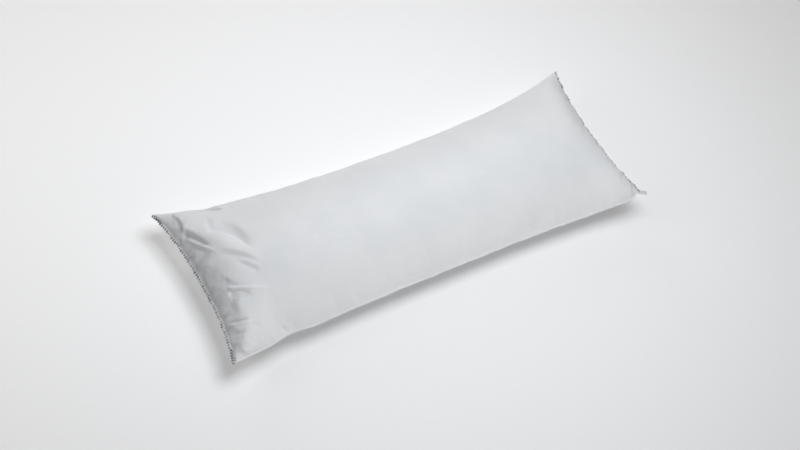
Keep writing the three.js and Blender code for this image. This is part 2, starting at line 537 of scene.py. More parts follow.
def quads(numbers: Array) -> Array:
    """Faces of a grid of vertex numbers, facing up where columns run along +X and rows along +Y."""
    corners = (numbers[:-1, :-1], numbers[1:, :-1], numbers[1:, 1:], numbers[:-1, 1:])
    return np.stack(corners, axis=-1).reshape(-1, 4)


def rim_order(columns: int, rows: int) -> tuple[Array, Array]:
    """Go round a grid's rim, against the clock from the near left ear.

    Args:
        columns: Number of cells along the grid.
        rows: Number of cells across it.

    Returns:
        Column and row of each grid point on the way.
    """
    i = np.r_[0:columns, np.full(rows, columns), columns:0:-1, np.zeros(rows, int)]
    j = np.r_[np.zeros(columns, int), 0:rows, np.full(columns, rows), rows:0:-1]
    return i, j


def outward(loop: Array) -> Array:
    """Find a loop's outward directions, seen from above.

    Args:
        loop: Points of the loop, which runs against the clock.

    Returns:
        One direction for each point, up to twice as long at a corner, so that an offset line keeps its
        distance there.
    """
    before = right_of(loop - np.roll(loop, 1, axis=0))
    after = right_of(np.roll(loop, -1, axis=0) - loop)
    both = unit(before + after)
    return both / np.maximum((both * before).sum(axis=-1, keepdims=True), 0.5)


# Finishes


def add_node(tree: NodeTree, kind: str, inputs: dict | None = None, **settings: object) -> Node:
    """Add a node with its inputs and settings.

    Args:
        tree: The node tree.
        kind: The node's type name.
        inputs: An input's name or number to a constant, to the output socket that feeds it, or to the
            node whose first output feeds it.
        settings: The node's own properties.

    Returns:
        The new node.
    """
    node = tree.nodes.new(kind)
    for name, value in settings.items():
        setattr(node, name, value)
    for socket, value in (inputs or {}).items():
        if isinstance(value, Node):
            value = value.outputs[0]
        if isinstance(value, NodeSocket):
            tree.links.new(value, node.inputs[socket])
        else:
            node.inputs[socket].default_value = value
    return node


def noise_scale(grain_mm: float) -> float:
    """Scale of a Noise texture whose lumps are about one grain across, on coordinates in metres."""
    return 1.0 / (grain_mm * MM)


def wave_scale(pitch_mm: float) -> float:
    """Scale of a Wave texture whose bands are one pitch apart, on coordinates in metres."""
    return math.tau / 20.0 / (pitch_mm * MM)  # the texture turns 20 radians for each unit


def weave(tree: NodeTree, places: NodeSocket, pitch_mm: float, twill: bool = False) -> NodeSocket:
    """Draw crossing threads, or the slanted ribs of a twill.

    Args:
        tree: The material's node tree.
        places: Coordinates in metres that follow the cloth.
        pitch_mm: Spacing of the threads.
        twill: True for diagonal ribs, False for a plain weave.

    Returns:
        The output socket of their height, from 0 to 1.
    """
    scale = wave_scale(pitch_mm)
    size = {"Vector": places, "Scale": scale, "Distortion": 0.6, "Detail": 1.0, "Detail Scale": 0.4}
    if twill:
        return add_node(tree, "ShaderNodeTexWave", size, bands_direction="DIAGONAL").outputs["Fac"]
    warp = add_node(tree, "ShaderNodeTexWave", size, bands_direction="X").outputs["Fac"]
    weft = add_node(tree, "ShaderNodeTexWave", size, bands_direction="Y").outputs["Fac"]
    return add_node(tree, "ShaderNodeMath", {0: warp, 1: weft}, operation="MULTIPLY").outputs["Value"]


@dataclass(frozen=True)
class Finish:
    """A procedural material, tinted from dark to light by one of its patterns.

    Attributes:
        name: The material's name.
        dark: Its darkest colour, in hex.
        light: Its lightest colour.
        stops: Heights of the pattern at which those two colours are reached.
    """

    name: str
    dark: str
    light: str
    stops: Pair = (0.3, 0.7)

    def make(self) -> Material:
        """Build the material: one Principled shader, fed by the finish's patterns.

        Returns:
            The material.
        """
        material = bpy.data.materials.new(self.name)
        material.use_nodes = True
        tree = material.node_tree
        tree.nodes.clear()
        tint, inputs = self.patterns(tree, add_node(tree, "ShaderNodeTexCoord").outputs)
        ramp = add_node(tree, "ShaderNodeValToRGB", {"Fac": tint})
        for stop, place, colour in zip(ramp.color_ramp.elements, self.stops, (self.dark, self.light)):
            stop.position, stop.color = place, linear(colour)
        shader = add_node(tree, "ShaderNodeBsdfPrincipled", {"Base Color": ramp} | inputs)
        add_node(tree, "ShaderNodeOutputMaterial", {"Surface": shader})
        return material

    def patterns(self, tree: NodeTree, places: bpy_prop_collection) -> tuple[Node | NodeSocket, dict]:
        """Draw the patterns.

        Args:
            tree: The material's node tree.
            places: Outputs of its texture coordinates, in metres: "Object", or "UV" on flat cloth.

        Returns:
            The pattern that tints the material, and the shader's inputs but for its colour.
        """
        raise NotImplementedError


@dataclass(frozen=True)
class PercaleCotton(Finish):
    """Bleached cotton percale, plain woven and pressed: matt, cool white, with a soft sheen on edges."""

    name: str = "bleached_cotton_percale"
    dark: str = "#dadddf"
    light: str = "#e0e2e3"
    thread_pitch_mm: float = 1.5  # the real 0.3 mm threads are too fine to show
    thread_depth_mm: float = 0.05
    slub_mm: float = 3.0
    slub_depth_mm: float = 0.05
    rumple_mm: float = 26.0
    rumple_depth_mm: float = 0.25
    mottle_mm: float = 140.0

    def patterns(self, tree: NodeTree, places: bpy_prop_collection) -> tuple[Node, dict]:
        """Draw the mottle and the rumples on the solid cover, and the slubs and the weave on the flat one.

        Args:
            tree: The material's node tree.
            places: Outputs of its texture coordinates.

        Returns:
            The mottle, which tints the cotton, and the shader's other inputs.
        """
        solid, flat = places["Object"], places["UV"]
        inputs = {"Vector": solid, "Scale": noise_scale(self.mottle_mm), "Detail": 3.0, "Roughness": 0.55}
        mottle = add_node(tree, "ShaderNodeTexNoise", inputs)
        inputs = {"Vector": solid, "Scale": noise_scale(self.rumple_mm), "Roughness": 0.5, "Distortion": 0.4}
        rumple = add_node(tree, "ShaderNodeTexNoise", inputs)
        slub = add_node(tree, "ShaderNodeTexNoise", {"Vector": flat, "Scale": noise_scale(self.slub_mm)})
        inputs = {"Height": rumple, "Distance": self.rumple_depth_mm * MM}
        rumpled = add_node(tree, "ShaderNodeBump", inputs)
        inputs = {"Height": slub, "Distance": self.slub_depth_mm * MM, "Normal": rumpled}
        slubbed = add_node(tree, "ShaderNodeBump", inputs)
        threads = weave(tree, flat, self.thread_pitch_mm)
        inputs = {"Height": threads, "Distance": self.thread_depth_mm * MM, "Normal": slubbed}
        return mottle, {
            "Normal": add_node(tree, "ShaderNodeBump", inputs),
            "Roughness": 0.86,
            "IOR": 1.5,
            "Specular IOR Level": 0.25,
            "Sheen Weight": 0.12,
            "Sheen Roughness": 0.45,
        }


@dataclass(frozen=True)
class SewingThread(Finish):
    """Spun polyester thread, two plies twisted: softly shiny, with a fine slanted twist."""

    fibre_mm: float = 1.5
    twist_pitch_mm: float = 0.9
    twist_depth_mm: float = 0.08

    def patterns(self, tree: NodeTree, places: bpy_prop_collection) -> tuple[Node, dict]:
        """Draw the fibres and the twist.

        Args:
            tree: The material's node tree.
            places: Outputs of its texture coordinates.

        Returns:
            The fibres, which tint the thread, and the shader's other inputs.
        """
        inputs = {"Vector": places["Object"], "Scale": noise_scale(self.fibre_mm)}
        fibres = add_node(tree, "ShaderNodeTexNoise", inputs)
        twist = weave(tree, places["Object"], self.twist_pitch_mm, twill=True)
        inputs = {"Height": twist, "Distance": self.twist_depth_mm * MM}
        return fibres, {
            "Normal": add_node(tree, "ShaderNodeBump", inputs),
            "Roughness": 0.6,
            "IOR": 1.5,
            "Specular IOR Level": 0.35,
            "Sheen Weight": 0.1,
        }


@dataclass(frozen=True)
class TwillTape(Finish):
    """Woven polyester tape, ribbed on the slant and a little smoother than the cotton. Its pale grey is
    partly painted shade, for the shade that the tab lies in under the ear.
    """

    name: str = "grey_tape_with_painted_shade"
    # Darker than the cotton: partly the tape's own grey, partly painted shade of the tab under the ear.
    dark: str = "#c2c4c7"
    light: str = "#d2d4d6"
    rib_pitch_mm: float = 1.2
    rib_depth_mm: float = 0.12

    def patterns(self, tree: NodeTree, places: bpy_prop_collection) -> tuple[NodeSocket, dict]:
        """Draw the slanted ribs.

        Args:
            tree: The material's node tree.
            places: Outputs of its texture coordinates.

        Returns:
            The ribs, which also tint the tape, and the shader's other inputs.
        """
        ribs = weave(tree, places["UV"], self.rib_pitch_mm, twill=True)
        inputs = {"Height": ribs, "Distance": self.rib_depth_mm * MM}
        return ribs, {
            "Normal": add_node(tree, "ShaderNodeBump", inputs),
            "Roughness": 0.7,
            "IOR": 1.5,
            "Specular IOR Level": 0.3,
            "Sheen Weight": 0.15,
        }


@dataclass(frozen=True)
class OpalTable(Finish):
    """Opal acrylic, sanded: matt, pale and neutral, with an even painted glow that stands in for light from
    below and keeps the shadows on it light.
    """

    name: str = "opal_acrylic"
    dark: str = "#dcdcdc"
    light: str = "#e0e0e0"
    # Painted glow: an even emission of the table's own, which lifts the shadows on it.
    glow: float = 0.205
    grain_mm: float = 4.0
    grain_depth_mm: float = 0.03

    def patterns(self, tree: NodeTree, places: bpy_prop_collection) -> tuple[Node, dict]:
        """Draw the fine grain.

        Args:
            tree: The material's node tree.
            places: Outputs of its texture coordinates.

        Returns:
            The grain, which tints the table, and the shader's other inputs, its painted glow among them.
        """
        inputs = {"Vector": places["Object"], "Scale": noise_scale(self.grain_mm)}
        grain = add_node(tree, "ShaderNodeTexNoise", inputs)
        inputs = {"Height": grain, "Distance": self.grain_depth_mm * MM}
        return grain, {
            "Normal": add_node(tree, "ShaderNodeBump", inputs),
            "Roughness": 0.9,
            "IOR": 1.49,
            "Specular IOR Level": 0.1,
            "Emission Color": linear("#ffffff"),
            "Emission Strength": self.glow,
        }


# The filled pillow


@dataclass(frozen=True)
class Gathers:
    """How much longer the cloth is than the seams that hold it, as shares, and how far that reaches.

    Attributes:
        evenness: Share of the extra cloth that lies evenly.
        waves: Height, turn along u, turn along v and start of each wave that makes it uneven.
    """

    long_seams: float = 0.008
    ends: float = 0.022
    reach_mm: float = 55.0
    most: float = 0.06
    evenness: float = 0.75
    waves: tuple[tuple[float, float, float, float], ...] = ((0.3, 9.0, 2.0, 0.0), (0.25, 23.0, -5.0, 1.0))

    def share(self, u: Array, v: Array, form: PillowForm) -> Array:
        """Extra cloth at each place, uneven along the seams.

        Args:
            u: Place along the panel.
            v: Place across it.
            form: The pillow's form.

        Returns:
            The extra cloth as a share of the length it lies on.
        """
        from_long = (1.0 - np.abs(v)) * form.half_width
        from_end = (1.0 - np.abs(u)) * form.half_length
        waves = (height * np.sin(by_u * u + by_v * v + start) for height, by_u, by_v, start in self.waves)
        uneven = sum(waves, self.evenness)
        by_long = self.long_seams * arch(u, 8.0) * bump(from_long, self.reach_mm)
        by_end = self.ends * arch(v, 5.0) * bump(from_end, self.reach_mm)
        return np.clip((by_long + by_end) * uneven, 0.0, self.most)


@dataclass(frozen=True)
class CoverCloth:
    """Settings of the cloth simulation that puckers the cover beside its seams.

    Attributes:
        cap_mm: The most that a pucker may move a point.
        swelling_rounds: Rounds of blur that tell the shared swelling from the puckers.
    """

    frames: int = 16
    quality: int = 8
    pressure: float = 2.0
    vertex_mass: float = 0.002
    stretch: float = 15.0
    shear: float = 5.0
    bend: float = 0.05
    bend_damping: float = 0.1
    damping: float = 1.0
    start_noise_mm: float = 0.4
    seed: int = 3
    cap_mm: float = 9.0
    swelling_rounds: int = 60

    def settings(self, modifier: ClothModifier, most_extra: float) -> None:
        """Put the settings on a modifier.

        Args:
            modifier: A Cloth modifier.
            most_extra: The most extra cloth there is, as a share.
        """
        cloth = modifier.settings
        cloth.quality = self.quality
        cloth.mass = self.vertex_mass
        cloth.tension_stiffness = cloth.compression_stiffness = self.stretch
        cloth.shear_stiffness = self.shear
        cloth.bending_stiffness = self.bend
        cloth.bending_damping = self.bend_damping
        cloth.tension_damping = cloth.compression_damping = cloth.shear_damping = self.damping
        cloth.use_pressure = True
        cloth.uniform_pressure_force = self.pressure
        cloth.vertex_group_mass = "held"
        cloth.vertex_group_shrink = "plain"
        cloth.shrink_max = 0.0
        cloth.shrink_min = -most_extra
        cloth.effector_weights.gravity = 0.0
        modifier.collision_settings.use_collision = False
        modifier.point_cache.frame_end = self.frames


@dataclass
class FilledPillow:
    """The cover and its filling: two crowned panels that meet in a turned seam. Sizes in millimetres.

    Attributes:
        rim_reach: How near the seam the relief fades out.
        swells: Number of low swells of the filling.
        swell_lengths: The least and the greatest length of their waves.
        swell_seed: Seed of their directions, with the panel's sign added.
        bead_lines: How far out and up from the panels' rim each line of the turned seam's bead lies.
        bead_step: Flat width of the cloth between two of those lines.
        flat_spacing: Distance between the two flat panels' middles, as a share of their width.
    """

    form: PillowForm
    cotton: Material
    grid: PanelGrid = field(default_factory=PanelGrid)
    gathers: Gathers = field(default_factory=Gathers)
    cloth: CoverCloth = field(default_factory=CoverCloth)
    panel_length: float = 1372.0
    panel_width: float = 508.0
    rim_reach: float = 6.0
    swells: int = 9
    swell_height: float = 0.28
    swell_lengths: Pair = (90, 260)
    swell_seed: int = 11
    bead_lines: Pairs = (
        *((1.1, 1.35), (2.0, 1.1), (2.6, 0.55), (1.7, 0.0)),
        *((2.6, -0.55), (2.0, -1.1), (1.1, -1.35)),
    )
    bead_step: float = 0.8
    flat_spacing: float = 1.2

    def build(self) -> Object:
        """Returns:
            The pillow's object.
        """
        u, v = self.grid.mesh()
        puckers = self.puckers(u[::2, ::2], v[::2, ::2])
        panels = {panel: self.panel_points(panel, u, v, puckers[panel]) for panel in Panel}
        pillow = self.sew(u, v, panels)
        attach(pillow, "root")
        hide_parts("pillow")
        return pillow

    def puckers(self, u: Array, v: Array) -> dict[Panel, Array]:
        """Simulate the cover under its filling's pressure and keep its puckers.

        The seams and the part that lies on the table are held. The swelling that a whole region shares
        is taken off again, because the form has it already.

        Args:
            u: u of each simulated grid point.
            v: Its v.

        Returns:
            Each panel's puckers in millimetres, on the full grid.
        """
        top, bottom = (self.form.surface(panel, u, v) for panel in Panel)
        rim = np.maximum(np.abs(u), np.abs(v)) == 1.0
        top_numbers = np.arange(u.size).reshape(u.shape)
        bottom_numbers = top_numbers.copy()
        bottom_numbers[~rim] = u.size + np.arange(np.count_nonzero(~rim))
        top = np.where(rim[..., None], (top + bottom) / 2, top)
        start = np.concatenate([top.reshape(-1, 3), bottom[~rim]])
        uneven = np.random.default_rng(self.cloth.seed).normal(0.0, self.cloth.start_noise_mm, start.shape)
        start = np.maximum(start + uneven, (-np.inf, -np.inf, 0.0))
        faces = np.concatenate([quads(top_numbers), quads(bottom_numbers)[:, ::-1]])
        cover = mesh_object("cover_in_simulation", start, faces)

        held, plain = np.zeros(len(start)), np.empty(len(start))
        held[bottom_numbers[rim | (bottom[..., 2] <= 0.0)]] = 1.0
        plain[top_numbers] = 1.0 - self.gathers.share(u, v, self.form) / self.gathers.most
        plain[bottom_numbers] = plain[top_numbers]
        for name, weights in (("held", held), ("plain", plain)):
            group = cover.vertex_groups.new(name=name)
            for number, weight in enumerate(weights):
                group.add([number], float(weight), "REPLACE")

        self.cloth.settings(cover.modifiers.new("cloth", "CLOTH"), self.gathers.most)
        scene = bpy.context.scene
        scene.frame_start, scene.frame_end = 1, self.cloth.frames
        for number in range(1, self.cloth.frames + 1):
            scene.frame_set(number)
        settled = cover.evaluated_get(bpy.context.evaluated_depsgraph_get()).data
        end = np.empty(len(settled.vertices) * 3, np.float32)
        settled.vertices.foreach_get("co", end)
        moved = end.reshape(-1, 3) / MM - start
        scene.frame_set(1)
        bpy.data.objects.remove(cover)
        return {
            Panel.TOP: self.keep_puckers(moved[top_numbers], rim),
            Panel.BOTTOM: self.keep_puckers(moved[bottom_numbers], rim),
        }

    def keep_puckers(self, moved: Array, rim: Array) -> Array:
        """Take the shared swelling off a panel's movement, cap what is left and refine it.

        Args:
            moved: How far each simulated point moved, in millimetres.
            rim: True for the points on the rim.

        Returns:
            The panel's puckers in millimetres, on the full grid.
        """
        moved = np.where(rim[..., None], 0.0, moved)
        local = moved - blur(moved, self.cloth.swelling_rounds)
        size = np.linalg.norm(local, axis=-1, keepdims=True)
        return refine(local * self.cloth.cap_mm / np.hypot(self.cloth.cap_mm, size))

    def panel_points(self, panel: Panel, u: Array, v: Array, puckers: Array) -> Array:
        """Points of a panel with its puckers, its uneven filling and, on the top, its creases.

        Args:
            panel: Which panel.
            u: u of each grid point.
            v: Its v.
            puckers: How far its pucker moves it, in millimetres.

        Returns:
            x, y and z in millimetres, on the last axis.
        """
        points = self.form.surface(panel, u, v)
        outwards = unit(np.cross(np.gradient(points, axis=0), np.gradient(points, axis=1))) * panel.value
        x, y = points[..., 0], points[..., 1]
        rise = self.uneven_filling(x, y, panel)
        if panel is Panel.TOP:
            rise = rise + sum(crease.height(x, y) for crease in CREASES)
        from_rim = np.minimum(1.0 - np.abs(v), 1.0 - np.abs(u)) * self.form.half_width
        rise = np.where(points[..., 2] <= 0.0, 0.0, rise * (1.0 - bump(from_rim, self.rim_reach)))
        points = points + puckers + outwards * rise[..., None]
        points[..., 2] = np.maximum(points[..., 2], 0.0)
        return points

    def uneven_filling(self, x: Array, y: Array, panel: Panel) -> Array:
        """Low swells of the filling, from a few waves with fixed directions.

        Args:
            x: x of each place, in millimetres.
            y: Its y.
            panel: Which panel, as each has its own swells.

        Returns:
            Heights in millimetres.
        """
        draw = np.random.default_rng(self.swell_seed + panel.value)
        total = np.zeros(x.shape)
        for _ in range(self.swells):
            length = draw.uniform(*self.swell_lengths)
            turn, start = draw.uniform(0, math.pi), draw.uniform(0, math.tau)
            along = x * math.cos(turn) + y * math.sin(turn)
            total += self.swell_height * np.sin(math.tau * along / length + start)
        return total

    def sew(self, u: Array, v: Array, panels: dict[Panel, Array]) -> Object:
        """Join the two panels with the bead of the seam between them into one closed mesh.

        Args:
            u: u of each grid point.
            v: Its v.
            panels: Points of each panel in millimetres.

        Returns:
            The pillow's object, with its UV map.
        """
        top, bottom = panels[Panel.TOP], panels[Panel.BOTTOM]
        i, j = rim_order(u.shape[0] - 1, u.shape[1] - 1)
        count = len(i)
        middle = (top[i, j] + bottom[i, j]) / 2
        away = outward(middle)
        bead = [middle + np.column_stack([away * out, np.full(count, up)]) for out, up in self.bead_lines]
        points = np.concatenate([top.reshape(-1, 3), bottom.reshape(-1, 3), *bead])

        numbers = np.arange(len(points))
        top_numbers = numbers[: u.size].reshape(u.shape)
        bottom_numbers = top_numbers + u.size
        bead_numbers = numbers[2 * u.size :].reshape(-1, count)
        loops = np.vstack([top_numbers[i, j], bead_numbers, bottom_numbers[i, j]])
        strips = quads(np.column_stack([loops, loops[:, 0]]))
        faces = np.concatenate([quads(top_numbers), quads(bottom_numbers)[:, ::-1], strips])
        pillow = mesh_object("filled_pillow", self.form.packed(points), faces, self.cotton)

        # The flat bottom panel lies beside the top one, and the bead is cut from the nearer panel.
        flat = np.stack([u * self.panel_length / 2, v * self.panel_width / 2], axis=-1)
        edge, beside = flat[i, j], np.array([0.0, self.flat_spacing * self.panel_width])
        steps = outward(edge) * self.bead_step * np.arange(1, len(bead) + 1)[:, None, None]
        both = [flat.reshape(-1, 2), flat.reshape(-1, 2) + beside]
        from_top = np.concatenate([*both, *(edge + steps)])
        from_bottom = np.concatenate([*both, *(edge + steps[::-1] + beside)])
        cells = (len(faces) - len(strips)) // 2
        upper = count * (len(bead) // 2 + 1)
        face_counts = [cells, cells, upper, len(strips) - upper]
        on_top = np.repeat([True, False, True, False], np.array(face_counts) * 4)[:, None]
        corners = loop_vertices(pillow)
        lay_flat(pillow, "flat_cloth", np.where(on_top, from_top[corners], from_bottom[corners]))
        return pillow


# Stitches


@dataclass(frozen=True)
class StitchRow:
    """A row of stitches that go round an edge, made with Geometry Nodes.

    Attributes:
        pitch: Distance from one stitch to the next, in millimetres.
        length: How far a stitch reaches across the edge.
        height: How tall it is round the edge.
        thread: Radius of the thread.
        turn: Slant of the stitches, in degrees.
        smallest: Size of the smallest stitch as a share of the largest.
        seed: Seed of the sizes between them.
        ring_points: Number of points round a stitch.
        thread_sides: Number of sides of the thread.
    """

    pitch: float
    length: float
    height: float
    thread: float
    turn: float
    smallest: float = 0.7
    seed: int = 5
    ring_points: int = 14
    thread_sides: int = 6

    def sizes(self) -> dict[str, float]:
        """Give the tree its sizes.

        Returns:
            The value of each named input, in metres and radians.
        """
        return {
            "Pitch": self.pitch * MM,
            "Length": self.length * MM,
            "Height": self.height * MM,
            "Thread": self.thread * MM,
            "Turn": math.radians(self.turn),
            "Smallest": self.smallest,
        }

    def tree(self, thread: Material) -> NodeTree:
        """Build the node tree: a ring of thread on each point of the resampled line, made real.

        Args:
            thread: The thread's material.

        Returns:
            The tree, with a named input for each size.
        """
        tree = bpy.data.node_groups.new("stitch_row", "GeometryNodeTree")
        sockets = tree.interface
        sockets.new_socket("Line", in_out="INPUT", socket_type="NodeSocketGeometry")
        for name in self.sizes():
            sockets.new_socket(name, in_out="INPUT", socket_type="NodeSocketFloat")
        sockets.new_socket("Stitches", in_out="OUTPUT", socket_type="NodeSocketGeometry")
        given = add_node(tree, "NodeGroupInput").outputs
        curve = add_node(tree, "GeometryNodeMeshToCurve", {"Mesh": given["Line"]})
        inputs = {"Curve": curve, "Length": given["Pitch"]}
        spaced = add_node(tree, "GeometryNodeResampleCurve", inputs, mode="LENGTH")
        inputs = {"Vector": add_node(tree, "GeometryNodeInputTangent")}
        aligned = add_node(tree, "FunctionNodeAlignRotationToVector", inputs, axis="X", pivot_axis="Z")
        slant = add_node(tree, "ShaderNodeCombineXYZ", {"Z": given["Turn"]})
        inputs = {"Rotation": aligned, "Rotate By": slant}
        turned = add_node(tree, "FunctionNodeRotateRotation", inputs, rotation_space="LOCAL")
        least, most, seed = 2, 3, 8  # inputs of a random number, of which the second output is a float
        inputs = {least: given["Smallest"], most: 1.0, seed: self.seed}
        uneven = add_node(tree, "FunctionNodeRandomValue", inputs, data_type="FLOAT").outputs[1]
        inputs = {"Points": spaced, "Instance": self.ring(tree, given), "Rotation": turned, "Scale": uneven}
        placed = add_node(tree, "GeometryNodeInstanceOnPoints", inputs)
        real = add_node(tree, "GeometryNodeRealizeInstances", {"Geometry": placed})
        dressed = add_node(tree, "GeometryNodeSetMaterial", {"Geometry": real, "Material": thread})
        add_node(tree, "NodeGroupOutput", {"Stitches": dressed})
        return tree

    def ring(self, tree: NodeTree, given: bpy_prop_collection) -> Node:
        """Make one stitch: a flattened ring of thread that stands across the line.

        Args:
            tree: The row's node tree.
            given: The tree's inputs, by name.

        Returns:
            The node that gives the stitch.
        """
        inputs = {"Resolution": self.ring_points, "Radius": 0.5}
        circle = add_node(tree, "GeometryNodeCurvePrimitiveCircle", inputs)
        scale = add_node(tree, "ShaderNodeCombineXYZ", {"X": given["Length"], "Y": given["Height"], "Z": 1.0})
        inputs = {"Geometry": circle, "Rotation": (math.pi / 2, 0.0, math.pi / 2), "Scale": scale}
        flattened = add_node(tree, "GeometryNodeTransform", inputs)
        inputs = {"Resolution": self.thread_sides, "Radius": given["Thread"]}
        section = add_node(tree, "GeometryNodeCurvePrimitiveCircle", inputs)
        return add_node(tree, "GeometryNodeCurveToMesh", {"Curve": flattened, "Profile Curve": section})

    def build(self, name: str, line_mm: Array, thread: Material) -> Object:
        """Sew the row along a line and make it a plain mesh.

        Args:
            name: The piece's name.
            line_mm: Points of the line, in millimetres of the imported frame.
            thread: The thread's material.

        Returns:
            The row's object.
        """
        line = bpy.data.meshes.new(f"{name}_line")
        edges = [(k, k + 1) for k in range(len(line_mm) - 1)]
        line.from_pydata((line_mm * MM).tolist(), edges, [])
        guide = link_object(f"{name}_guide", line)
        modifier = guide.modifiers.new("stitches", "NODES")
        modifier.node_group = self.tree(thread)
        sizes = self.sizes()
        for socket in modifier.node_group.interface.items_tree:
            if socket.name in sizes:
                modifier[socket.identifier] = sizes[socket.name]
        evaluated = guide.evaluated_get(bpy.context.evaluated_depsgraph_get())
        mesh = bpy.data.meshes.new_from_object(evaluated)
        mesh.polygons.foreach_set("use_smooth", [True] * len(mesh.polygons))
        bpy.data.objects.remove(guide)
        return link_object(name, mesh)


# End seams


@dataclass
class EndSeam:
    """An end where both panels' edges stand out together, overlocked and closed with whip stitches.

    Attributes:
        node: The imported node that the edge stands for.
        whip: The whip stitches that close it.
        droop: How far the outer edge hangs down, in millimetres.
        tails: How much wider the edge is at the near and at the far ear, in millimetres.
        tack: The stitches that cross the seam at both ears, where it has them.
        tacked: The first and the last of the stations from an ear's tip that a tack covers.
        stitch_line: How far out and up, as `edge` takes them, the line lies that the stitches go round.
        tack_line: The same for the tacks.
        tail_reach: Share of the half width over which a tail fades.
        ruffles: Height, length and start of each wave of the outer edge, in millimetres and radians.
        section: Share of the width and height in millimetres of each line of the edge, from the top round
            its rim to the bottom.
    """

    form: PillowForm
    end: End
    node: str
    cotton: Material
    # The closing thread is grey partly as its own colour and partly as painted shade of the seam's crevice.
    closing_thread_with_painted_shade: Material
    overlock_thread: Material
    whip: StitchRow
    droop: float
    tails: Pair
    tack: StitchRow | None = None
    tacked: tuple[int, int] = (4, 20)
    stitch_line: Pair = (0.6, 0.0)
    tack_line: Pair = (0.05, 1.2)
    overlock: StitchRow = StitchRow(pitch=2.2, length=4.8, height=2.3, thread=0.36, turn=8.0)
    width: float = 4.2
    tail_reach: float = 0.07
    ruffles: tuple[tuple[float, float, float], ...] = ((0.5, 31.0, 0.0), (0.4, 19.0, 1.0))
    stations: int = 280
    section: Pairs = (
        *((-0.25, 0.45), (0.25, 0.5), (0.6, 0.7), (0.85, 0.8), (0.97, 0.5), (1.0, 0.0)),
        *((0.97, -0.5), (0.85, -0.8), (0.6, -0.7), (0.25, -0.5), (-0.25, -0.45)),
    )

    def edge(self, out: float, up: float) -> Array:
        """A line along the seam.

        Args:
            out: How far it lies outside the cover's outline, as a share of the edge's width.
            up: How far it lies above the edge's middle, in millimetres.

        Returns:
            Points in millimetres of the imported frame.
        """
        v = np.linspace(-1.0, 1.0, self.stations + 1)
        u = np.full_like(v, float(self.end.value))
        x, y = self.form.plan(u, v, 0.0)
        away = right_of(np.stack([np.gradient(x), np.gradient(y)], axis=-1)) * self.end.value
        by_near, by_far = (bump(v - ear, self.tail_reach) for ear in (-1.0, 1.0))
        width = self.width + self.tails[0] * by_near + self.tails[1] * by_far
        ruffle = sum(high * np.sin(math.tau * y / length + start) for high, length, start in self.ruffles)
        share = max(out, 0.0)
        height = self.form.middle(u, v, x, y) + up + share * ruffle - self.droop * share**1.5
        flat = np.stack([x, y], axis=-1) + away * (out * width)[:, None]
        return self.form.packed(np.column_stack([flat, height]))

    def build(self) -> list[Object]:
        """Returns:
            The end's objects.
        """
        edge = self.build_edge()
        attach(edge, "root")
        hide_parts(self.node)
        middle = self.edge(*self.stitch_line)
        rows = [
            self.whip.build(f"{self.node}_whip_stitches", middle, self.closing_thread_with_painted_shade),
            self.overlock.build(f"{self.node}_overlock_stitches", middle, self.overlock_thread),
        ]
        if self.tack:
            outline = self.edge(*self.tack_line)
            first, last = self.tacked
            for ear, line in (("near", outline[first:last]), ("far", outline[-last:-first])):
                rows.append(self.tack.build(f"{self.node}_{ear}_tack", line, self.closing_thread_with_painted_shade))
        for row in rows:
            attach(row, "root")
        return [edge, *rows]

    def build_edge(self) -> Object:
        """Press the two edges of cloth together into one band.

        Returns:
            The band's object, with its UV map.
        """
        points = np.concatenate([self.edge(out, up) for out, up in self.section])
        numbers = np.arange(len(points)).reshape(len(self.section), -1)
        faces = [*quads(np.vstack([numbers, numbers[0]])), numbers[::-1, 0], numbers[:, -1]]
        if self.end is End.LEFT:
            faces = [face[::-1] for face in faces]
        band = mesh_object(f"{self.node}_edge", points, faces, self.cotton)
        lay_flat(band, "flat_cloth", points[loop_vertices(band), 1::-1])
        return band


# Corner tab


